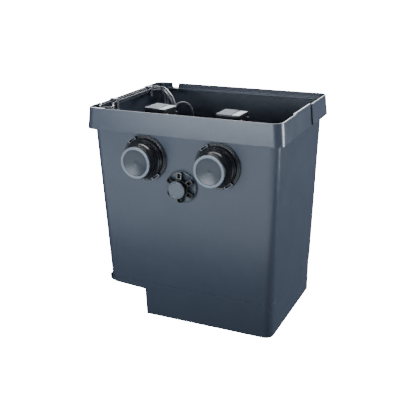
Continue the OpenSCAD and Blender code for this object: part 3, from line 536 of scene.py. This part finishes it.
def add_coil_ties(side):
    """Two bands round the coil's section, each with its buckle."""
    here = floor_place(side)
    low, high = COIL_INNER_R - 0.0012, COIL_OUTER_R + 0.0012
    ties = []
    for n, degrees in enumerate(TIE_TURNS):
        bm = tie_band(low, high)
        buckle = bmesh.ops.create_cube(bm, size=1)["verts"]
        bmesh.ops.scale(bm, vec=(0.0045, 0.0075, 0.008), verts=buckle)
        bmesh.ops.translate(bm, vec=(high + 0.0018, 0, COIL_H * 0.62), verts=buckle)
        edges = list({e for v in buckle for e in v.link_edges})
        bmesh.ops.bevel(bm, geom=edges, offset=0.0008, segments=2, affect="EDGES", clamp_overlap=True)
        bm.transform(here @ Matrix.Rotation(math.radians(degrees), 4, "Z"))
        ties.append(finished(f"coil_tie_{side}_{n + 1}", bm, BLACK))
    return ties


def add_plug(side):
    """Moulded mains plug: ribbed strain relief, a waisted grip with a flat face, and two pins."""
    here = floor_place(side) @ Matrix.Translation(mm(*PLUG_START))
    profile = [(0, 0), (5.4, 0)]
    for k in range(5):
        x = 2.5 + k * 4
        r = 5.6 + 0.5 * k
        profile += [(r, x), (r - 0.9, x + 1.2), (r - 0.9, x + 2.2), (r + 0.3, x + 3.2)]
    profile += [(10, 24), (14, 27.5), (17.4, 33), (17.9, 40), (16.6, 47), (17.9, 54), (17.6, 58)]
    profile += [(16, 60), (0, 60)]
    grip = lathe([(r * MM, x * MM) for r, x in rounded(profile, 1.2, 2, closed=False)], (0, 0, 0), "z", 64)
    pin = [(0, 0.059), (0.0024, 0.059), (0.0024, 0.0775), (0.0018, 0.079), (0, 0.079)]
    bm = joined(grip, *[lathe(pin, (0, y, 0), "z", 32) for y in (-0.0095, 0.0095)])
    bm.transform(here @ Matrix.Rotation(math.pi / 2, 4, "Y"))
    return finished(f"mains_plug_{side}", bm, SHEATH, replaces=[f"plug_{side}"])


for side in SIDES:
    cable, line = add_cable(side)
    with_cable = [add_plug(side), *add_coil_ties(side)]


# ---- Tub ----

TUB_NODES = ("tub_front_wall", "tub_back_wall", "tub_left_wall", "tub_right_wall", "tub_floor")
HALF_W, HALF_D = 400, 300
TUB_H = 862
WALL = 6
BAND_Z, BAND_LEAN = 780, 7.5
CREASE_Z = 148
CREASE_IN = 0.9
LEAN = BAND_LEAN / (TUB_H - BAND_Z)
LEDGE_Z = 842
LEDGE_IN = 31
HOLLOW_Z = LEDGE_Z - WALL
RIM_R = 36
SEAT_R = RIM_R - 10
BAND = (HALF_W, HALF_D)
TOP = (HALF_W - BAND_LEAN, HALF_D - BAND_LEAN)
SEAT = (HALF_W - LEDGE_IN, HALF_D - LEDGE_IN)
# Half width and half depth outside, from the foot up to under the lid seat
FOOT, LOW, NECK, LEDGE = (357.56, 257.56), (359.04, 259.04), (378, 278), (379.86, 279.86)
# How far the back steps in below the crease, and the size of the rounding on the rim's edges
BACK_JOG = 8.5
LIP = 1.6
# The raised floor: the place and lean of the wall beside it, its underside's height, and its bend's radius
STEP_X, STEP_LEAN, STEP_Z = -188, 3, 115
FLOOR_BEND = 25
# How deep the band's two ends are recessed, and from where to where on each end
RECESS = 7
RECESSES = {-1: (-195, 180), 1: (-125, 70)}
NOTCH = (-318, -288)
CORNER_LIP = (-368, -306)
OUTLET_X, OUTLET_Z = 149, 685
OUTLET_PAD_R, OUTLET_HOLE_R = 91, 58
DRAIN_Z = 587
DRAIN_PAD_R, DRAIN_HOLE_R = 63, 30.5
INLET_X, INLET_Z = 170, 300
INLET_PAD_R, INLET_HOLE_R = 100, 88


def tub_ring(size, z, inward=0.0, radius=RIM_R, jog=0.0):
    """Section of the tub at height z, moved inwards from size, with its back moved in by jog."""
    hx, hy = size[0] - inward, size[1] - inward
    points = ring(-hx, hx, -hy, hy - jog, max(radius - inward, 4), z)
    return [p * MM for p in points]


def outside_rings():
    """From the underside up the outside, with the crease where the back steps out, to under the band."""
    return [
        tub_ring(FOOT, 0, 4, jog=BACK_JOG),
        tub_ring(FOOT, 1.2, 1.2, jog=BACK_JOG),
        tub_ring(FOOT, 4, jog=BACK_JOG),
        tub_ring(LOW, CREASE_Z - 3.2, 0.05, jog=BACK_JOG),
        tub_ring(LOW, CREASE_Z - 2.4, CREASE_IN, jog=BACK_JOG),
        tub_ring(LOW, CREASE_Z - 0.6, CREASE_IN),
        tub_ring(LOW, CREASE_Z + 0.4),
        tub_ring(LOW, CREASE_Z + 2, -0.05),
        tub_ring(NECK, BAND_Z - 6),
        tub_ring(LEDGE, HOLLOW_Z - 2),
        tub_ring(LEDGE, HOLLOW_Z, -2)]


def band_rings():
    """Down the inside of the band, round its lower edge, up its face and over the rim."""
    hollow = BAND_LEAN * (HOLLOW_Z - BAND_Z) / (TUB_H - BAND_Z)
    return [
        tub_ring(BAND, HOLLOW_Z, WALL + hollow + 2),
        tub_ring(BAND, HOLLOW_Z - 2, WALL + hollow),
        tub_ring(BAND, BAND_Z + LIP, WALL + LEAN * LIP),
        tub_ring(BAND, BAND_Z + 0.4, WALL - 0.4),
        tub_ring(BAND, BAND_Z, WALL - LIP),
        tub_ring(BAND, BAND_Z, LIP),
        tub_ring(BAND, BAND_Z + 0.4, 0.5),
        tub_ring(BAND, BAND_Z + LIP, LEAN * LIP),
        tub_ring(TOP, TUB_H - LIP * 1.3, -LEAN * LIP),
        tub_ring(TOP, TUB_H - 0.5, 0.5),
        tub_ring(TOP, TUB_H, LIP * 1.3),
        tub_ring(TOP, TUB_H, WALL - LIP),
        tub_ring(TOP, TUB_H - 0.5, WALL - 0.4),
        tub_ring(TOP, TUB_H - LIP, WALL)]


def inside_rings():
    """Down from the rim to the lid seat, over it, and down the inside to the floor."""
    return [
        tub_ring(TOP, LEDGE_Z + LIP, WALL),
        tub_ring(TOP, LEDGE_Z + 0.4, WALL + 0.5),
        tub_ring(TOP, LEDGE_Z, WALL + LIP),
        tub_ring(SEAT, LEDGE_Z, -LIP, SEAT_R),
        tub_ring(SEAT, LEDGE_Z - 0.5, -0.4, SEAT_R),
        tub_ring(SEAT, LEDGE_Z - LIP, 0, SEAT_R),
        tub_ring(SEAT, HOLLOW_Z + 0.6, 0, SEAT_R),
        tub_ring(LEDGE, HOLLOW_Z - 2, WALL),
        tub_ring(LOW, CREASE_Z + WALL + 4, WALL),
        tub_ring(LOW, CREASE_Z + WALL - 4, WALL, jog=BACK_JOG),
        tub_ring(FOOT, WALL + 8, WALL, jog=BACK_JOG),
        tub_ring(FOOT, WALL + 2.4, WALL + 2.4, jog=BACK_JOG),
        tub_ring(FOOT, WALL, WALL + 8, jog=BACK_JOG)]


def under_floor(grow, x0, z0):
    """Outline (x, z) of the space under the raised floor, with its walls moved outwards by grow."""
    x1, z1 = STEP_X + grow, STEP_Z + grow
    rise = (LOW[0] - grow - FLOOR_BEND + x1 - STEP_LEAN) * FLOOR_SLOPE
    cx, cz = -LOW[0] + grow + FLOOR_BEND, z1 + rise + FLOOR_BEND
    bend = [(cx + FLOOR_BEND * math.cos(math.radians(a)), cz + FLOOR_BEND * math.sin(math.radians(a)))
            for a in range(270, 178, -9)]
    return [(x0, z0), (x1, z0), (x1 - STEP_LEAN, z1), *[(max(x, x0), z) for x, z in bend], (x0, cz)]


def band_slab(side, y, depth, thickness, z0=BAND_Z, z1=TUB_H):
    """Slab that leans with the band on one end, its outer face depth under the band's."""
    low, high = (HALF_W - depth - LEAN * (z - BAND_Z) for z in (z0, z1))
    corners = [(low - thickness, z0), (low, z0), (high, z1), (high - thickness, z1)]
    return along_y([(side * x, z) for x, z in corners], y[1], y[1] - y[0])


def disc(x, z, r, y0, y1):
    """Disc along Y with a softened front edge."""
    edge = 1.2 if y1 < y0 else -1.2
    return turned([(0, y0), (r, y0), (r, y1 + edge), (r - 1.2, y1), (0, y1)], x, z, 0, 96)


def bore(x, z, r, y0, y1):
    """Plain cylinder along Y, to cut with."""
    return turned([(0, y0), (r, y0), (r, y1), (0, y1)], x, z, 0, 64 if r < 40 else 96)


def notch_cutter():
    """The cable notch in the back of the rim, with rounded lower corners."""
    left, right = NOTCH
    low, high = LEDGE_Z + 0.3, TUB_H + 8
    outline = rounded([(left - 2, high), (left, low), (right, low), (right + 2, high)], 7, 5)
    return along_y([tuple(p) for p in outline], HALF_D + 4, 22)


def corner_lip():
    """The thick stretch of the rim at the front left corner, where the hank turns."""
    left, right = CORNER_LIP
    outline = [(left, LEDGE_Z - 2), (right, LEDGE_Z - 2), (right - 8, TUB_H - 0.2), (left, TUB_H - 0.2)]
    return along_y(outline, -278.5, 11)


def add_tub():
    """The moulding, with its raised floor, recesses, notch, and pads and holes for the fittings."""
    added = [along_y(under_floor(WALL, -LOW[0] + 3, 1), 246, 501)]
    added += [band_slab(side, y, RECESS + 0.1, WALL) for side, y in RECESSES.items()]
    added.append(corner_lip())
    for s in (-1, 1):
        added.append(disc(s * OUTLET_X, OUTLET_Z, OUTLET_PAD_R, -266, -278.2))
        added.append(disc(s * INLET_X, INLET_Z, INLET_PAD_R, 254, 268))
    added.append(disc(0, DRAIN_Z, DRAIN_PAD_R, -262, -275.5))
    cut = [along_y(under_floor(0, -HALF_W, -5), HALF_D, 2 * HALF_D), notch_cutter()]
    cut += [band_slab(side, y, -20, 20 + RECESS, BAND_Z - 5, TUB_H + 5) for side, y in RECESSES.items()]
    for s in (-1, 1):
        cut.append(bore(s * OUTLET_X, OUTLET_Z, OUTLET_HOLE_R, -230, -290))
        cut.append(bore(s * INLET_X, INLET_Z, INLET_HOLE_R, 230, 290))
    cut.append(bore(0, DRAIN_Z, DRAIN_HOLE_R, -230, -290))
    steps = [("UNION", part) for part in added] + [("DIFFERENCE", part) for part in cut]
    rings = outside_rings() + band_rings() + inside_rings()
    finished("tub", shaped(lofted(rings), *steps), TUB, replaces=TUB_NODES)


add_tub()


# ---- Outlets ----

SIGN = {"left": -1, "right": 1}
KNURLS = 40
LUG_ANGLES = (125, 305)


def arc(r, start, end, steps=10):
    """Points (x, z) on an arc about the origin, from start to end in degrees."""
    angles = [math.radians(start + (end - start) * k / steps) for k in range(steps + 1)]
    return [(r * math.cos(a), r * math.sin(a)) for a in angles]


def sector(r0, r1, middle, half):
    """Outline between two radii, half degrees to each side of the middle angle."""
    return arc(r1, middle - half, middle + half) + arc(r0, middle + half, middle - half)


def moved(points, x, z):
    return [(x + p[0], z + p[1]) for p in points]


def knurl(x, z, degrees):
    """One of the ridges round the collar, tapering to its front."""
    a = math.radians(degrees)
    out, along = (math.cos(a), math.sin(a)), (-math.sin(a), math.cos(a))
    corners = [(76, -2.6), (79.2, -2.4), (79.8, 0), (79.2, 2.4), (76, 2.6)]
    outline = [(x + r * out[0] + t * along[0], z + r * out[1] + t * along[1]) for r, t in corners]
    back = [mm(px, -288.2, pz) for px, pz in outline]
    front = [mm(x + (px - x) * 0.965, -297.4, z + (pz - z) * 0.965) for px, pz in outline]
    return lofted([back, front])


def add_bulkhead(side, x, z):
    """The flange on the wall with its thread, and the spigot inside for the pump's sleeve."""
    bulkhead = turned([
        (51, -295), (61.8, -295), (61.8, -285), (80.5, -285), (81.5, -283.8), (84, -283.8), (85, -285),
        (89, -285), (89, -280.2), (57.5, -280.2), (57.5, -247), (32, -244.5), (32, -223), (27, -223),
        (27, -247), (51, -252)], x, z)
    finished(f"bulkhead_{side}", bulkhead, GLOSS,
             replaces=[f"outlet_bulkhead_{side}"])


def add_collar(side, x, z):
    """The bayonet collar: a stepped ring with knurls, and two slotted lugs."""
    band = turned([
        (62.3, -286), (78, -286), (78, -296.5), (76.6, -297.6), (73.5, -301), (70, -301), (69.2, -299.8),
        (66.8, -299.8), (66, -301), (62.3, -301)], x, z, 0.5)
    knurls = [knurl(x, z, k * 360 / KNURLS) for k in range(KNURLS)]
    finished(f"collar_ring_{side}", joined(band, *knurls), GLOSS, f"collar_{side}",
             [f"outlet_collar_{side}"], 30)
    for n, degrees in enumerate(LUG_ANGLES):
        loop = along_y(moved(sector(75, 88.6, degrees, 12.4), x, z), -286, 8)
        slot = along_y(moved(sector(79.4, 85.8, degrees, 9.6), x, z), -284, 12)
        mesh = shaped(loop, ("DIFFERENCE", slot))
        # The lugs' lighter grey is a painted highlight.
        lug = finished(f"collar_lug_{side}_{n + 1}", mesh, LUG_PAINTED_HIGHLIGHT, f"collar_{side}")
        soften(lug, 0.0009)


def add_tail_piece(side, x, z):
    """The stepped piece that the collar holds and the cap plugs into."""
    barrel = turned([
        (50, -301.4), (73, -301.4), (73, -305.4), (69.5, -307.4), (69.5, -310.4), (70.8, -311.6),
        (70.8, -313.6), (69.5, -314.8), (69.5, -319.4), (68.5, -325.4), (65.5, -332.4), (62, -337.4),
        (60, -340.4), (60, -344.6), (58.8, -346), (50, -346)], x, z)
    finished(f"tail_piece_{side}", barrel, GLOSS,
             replaces=[f"outlet_barrel_{side}"])


def add_end_cap(side, x, z):
    """The cap, dished to a small dimple, with its rim ring drawn in a lighter grey as a painted highlight,
    and the plug that holds the O-ring.
    """
    rim = turned([(49.8, -357.6), (50.6, -359.6), (52, -360), (57.6, -360), (60, -359.2), (60.9, -357.4)],
                 x, z, 0.4)
    # The rim ring's lighter grey is a painted highlight.
    finished(f"cap_rim_{side}", rim, CAP_RIM_PAINTED_HIGHLIGHT, f"cap_{side}")
    cap = turned([
        (0, -346.4), (3.4, -346.6), (6.4, -348.8), (11, -349.6), (20, -350.8), (32, -353), (42, -355.6),
        (48, -357.2), (49.6, -357.8), (50, -358.6), (59.8, -358.6), (61, -357.6), (61, -352), (60.4, -351.4),
        (60.4, -350.4), (61, -349.8), (61, -346.3), (49.6, -346.3), (49.6, -338), (46.6, -338), (46.6, -334),
        (49.6, -334), (49.6, -322), (43, -322), (43, -344.4), (0, -344.4)], x, z, 0.7)
    finished(f"end_cap_{side}", cap, CAP, f"cap_{side}", [f"outlet_cap_{side}"])


for side in SIDES:
    for add in (add_bulkhead, add_collar, add_tail_piece, add_end_cap):
        add(side, SIGN[side] * OUTLET_X, OUTLET_Z)


# ---- Drain ----

GRIPS = 6


def grip_outline(r0, r1, half, bend, turn):
    """Outline (x, z) of a finger along a direction, with a rounded tip."""
    finger = rounded([(r0, -half), (r1, -half), (r1, half), (r0, half)], [0, bend, bend, 0], 4)
    cos, sin = math.cos(turn), math.sin(turn)
    return [(p.x * cos - p.y * sin, DRAIN_Z + p.x * sin + p.y * cos) for p in finger]


def add_flange(x, z):
    flange = turned([
        (20, -290), (29.7, -290), (29.7, -281), (57, -281), (57.8, -280.2), (59.2, -280.2), (60, -281),
        (62, -281), (62, -277.2), (30, -277.2), (30, -246), (20, -246)], x, z, 0.6)
    finished("drain_flange", flange, FLANGE, replaces=["drain_bulkhead"])


def add_star_nut(x, z):
    """Six grips with a pocket in each, sloping down from a round hub."""
    hub = turned([
        (24.6, -303), (33, -303), (36, -300), (36, -282.5), (30.2, -282.5), (30.2, -291.5), (24.6, -291.5)],
        x, z, 0.8)
    grips, pockets = [], []
    for k in range(GRIPS):
        turn = math.radians(30 + k * 360 / GRIPS)
        grips.append(along_y(grip_outline(27, 59, 9.6, 6, turn), -282.5, 19.5))
        pockets.append(along_y(grip_outline(39, 56, 6.6, 4, turn), -287, 20))
    slope = turned([(37, -300.5), (60.5, -294), (60.5, -312), (37, -312)], x, z, 0)
    nut = shaped(joined(*grips), ("DIFFERENCE", joined(*pockets)), ("DIFFERENCE", slope))
    lobes = finished("star_nut_grips", nut, NUT, "drain_nut")
    soften(lobes, 0.0011)
    finished("star_nut_hub", hub, NUT, "drain_nut", ["drain_star_nut"])


def add_drain_cap(x, z):
    cap = turned([
        (0, -325), (27.2, -325), (27.9, -324.3), (28.9, -324.3), (29.6, -325), (32.4, -325), (34, -323.4),
        (34, -315.8), (17.7, -315.8), (17.7, -302.8), (0, -302.8)], x, z, 0.7)
    finished("drain_end_cap", cap, PLUG_CAP, "drain_plug", ["drain_cap"])


for add in (add_flange, add_star_nut, add_drain_cap):
    add(0, DRAIN_Z)


# ---- Pump heads ----

HEAD_TURN = {"left": -8, "right": -2}
PUMP_Y = -142
HEAD_TOP = 852.5
HEAD_HALF = (50, 45)


def head_place(side):
    """Transform from a head's own frame to the scene: over its outlet's pump, a little turned."""
    turn = Matrix.Rotation(math.radians(HEAD_TURN[side]), 4, "Z")
    return Matrix.Translation(mm(SIGN[side] * OUTLET_X, PUMP_Y, 0)) @ turn


def pad(x0, x1, y0, y1, z, height, inset, radius=0.8):
    """Low block with rounded corners and leaning sides."""
    rows = []
    for i, h in ((0, 0), (0.2, height * 0.6), (inset * 0.6, height * 0.9), (inset, height)):
        row = ring(x0 + i, x1 - i, y0 + i, y1 - i, max(radius - i * 0.4, 0.2), z + h, 4)
        rows.append([p * MM for p in row])
    return lofted(rows)


def head_section(inward, z, radius):
    x, y = HEAD_HALF
    return [p * MM for p in ring(-x + inward, x - inward, -y + inward, y - inward, radius, z, 8)]


def head_casing():
    """The head's shell, with the groove where its lower half starts and a sunk top."""
    return lofted([
        head_section(3, 793.4, 5),
        head_section(0.8, 792.4, 7),
        head_section(0, 793.4, 7),
        head_section(0, 803, 7),
        head_section(0.7, 803.6, 6.5),
        head_section(0.7, 804.8, 6.5),
        head_section(0, 805.4, 7),
        head_section(0, 812, 7),
        head_section(1.3, 848.6, 6.4),
        head_section(1.8, 851, 6),
        head_section(3, 852.3, 5.2),
        head_section(3.8, HEAD_TOP, 4.8),
        head_section(4.6, HEAD_TOP - 0.6, 4.4),
        head_section(5, HEAD_TOP - 2, 4.2)])


def head_grille():
    """The cooling pads on one side of the head's top, and the plate for the label on the other."""
    base = HEAD_TOP - 2.2
    pads = [pad(x, x + 5.6, y, y + 9, base, 4.7, 0.9)
            for x in (-45.4 + 8 * k for k in range(7)) for y in (-41.4 + 12.3 * n for n in range(7))]
    return joined(*pads, pad(14.5, 46.4, -41.5, 41.5, base, 3.2, 0.9, 3))


def add_head(side):
    casing, grille = head_casing(), head_grille()
    sheet = pad(21, 39, -22, 25, HEAD_TOP + 0.8, 0.5, 0.15, 1.5)
    for part in (casing, grille, sheet):
        part.transform(head_place(side))
    finished(f"head_casing_{side}", casing, GLOSS,
             replaces=[f"pump_head_{side}"])
    finished(f"head_grille_{side}", grille, FINS)
    finished(f"blank_label_{side}", sheet, LABEL, replaces=[f"head_label_{side}"])


for side in SIDES:
    add_head(side)


# ---- Kept CAD nodes ----

# The cable hooks get the light grey that is partly a painted highlight.
KEPT = {
    "drain_gasket": RUBBER, "drain_slip_ring": RUBBER, "drain_locknut": GLOSS, "drain_tail": GLOSS,
    "hose_clamps": STEEL, "volute_screws": STEEL, "head_screws": STEEL, "cable_hooks": CLIP_GREY_AND_HIGHLIGHT}
for side in SIDES:
    KEPT.update({
        f"outlet_gasket_{side}": RUBBER, f"outlet_locknut_{side}": GLOSS, f"cap_ring_{side}": RUBBER,
        f"inlet_seal_{side}": RUBBER, f"coupling_sleeve_{side}": RUBBER, f"pump_volute_{side}": BLACK,
        f"impeller_{side}": BLACK, f"rotor_shaft_{side}": STEEL, f"shaft_bush_{side}": CERAMIC,
        f"motor_housing_{side}": BLACK, f"cable_gland_{side}": RUBBER, f"suction_pipe_{side}": PIPE,
        f"foot_strainer_{side}": BLACK})
SOFT_EDGE = 0.0006
UNSOFTENED = ("volute_screws", "head_screws")


def dress(node, material, softened):
    """Gives a kept node its material and, where its edges show, a small radius on them."""
    node.data.materials.clear()
    node.data.materials.append(material)
    if softened:
        weld = node.modifiers.new("weld", "WELD")
        weld.merge_threshold = 0.00001
        soften(node, SOFT_EDGE, 1)
        weigh = node.modifiers.new("normals", "WEIGHTED_NORMAL")
        weigh.keep_sharp = True


for name, material in KEPT.items():
    dress(nodes[name], material, name not in UNSOFTENED)


# ---- Stage and light ----

FLOOR_HALF = 8900
FLOOR_GLOW = 24.0
WORLD_GLOW = 0.06
COOL = (0.86, 0.94, 1)


def glowing(name, strength):
    s = Shader(name)
    tone = s.blend(s.noise(3, 2), (0.9, 0.9, 0.9), (0.86, 0.86, 0.86))
    return s.set(Base_Color=tone, Roughness=0.9, Emission_Color=(1, 1, 1), Emission_Strength=strength)


def add_stage():
    """A white sweep that the camera sees as bright as the floor, and that lights nothing itself."""
    corners = [mm(x * FLOOR_HALF, y * FLOOR_HALF, -0.2) for x, y in ((-1, -1), (1, -1), (1, 1), (-1, 1))]
    floor = temporary(prism(corners, mm(0, 0, -20)))
    floor.name = "floor"
    floor.data.materials.append(glowing("floor", FLOOR_GLOW))
    dome = temporary(lathe([(9, -0.5), (9, 6), (8.2, 9.5), (5, 12), (0, 13)], (0, 0, 0), "z", 48))
    dome.name = "backdrop"
    dome.data.materials.append(glowing("backdrop", FLOOR_GLOW))
    for piece in (floor, dome):
        for ray in ("visible_diffuse", "visible_glossy", "visible_shadow", "visible_transmission"):
            setattr(piece, ray, False)
    world = bpy.data.worlds.new("studio")
    world.use_nodes = True
    world.node_tree.nodes["Background"].inputs["Color"].default_value = (0.9, 0.92, 1, 1)
    world.node_tree.nodes["Background"].inputs["Strength"].default_value = WORLD_GLOW
    bpy.context.scene.world = world


def add_light(name, place, target, size, power, colour=(1, 1, 1)):
    data = bpy.data.lights.new(name, "AREA")
    data.shape = "RECTANGLE"
    data.size, data.size_y = size
    data.energy = power
    data.color = colour
    light = bpy.data.objects.new(name, data)
    bpy.context.collection.objects.link(light)
    light.location = place
    light.visible_camera = False
    light.rotation_mode = "QUATERNION"
    light.rotation_quaternion = (Vector(target) - Vector(place)).to_track_quat("-Z", "Y")


add_stage()
add_light("key", (-0.45, -2.4, 1.1), (-0.1, -0.3, 0.75), (1.7, 0.7), 68, COOL)
add_light("side", (2.8, 1.25, 0.8), (0.3, 0, 0.45), (0.8, 1.4), 150, COOL)
add_light("back", (-1.5, 3.3, 1.8), (0, 0, 0.86), (2.8, 1.3), 105)
add_light("top", (0, 0.3, 2.8), (0, 0.15, 0.8), (2.2, 0.8), 72)
add_light("bounce", (0.1, -2.15, 0.02), (0.1, -2.15, 1), (4.4, 2.5), 76, COOL)
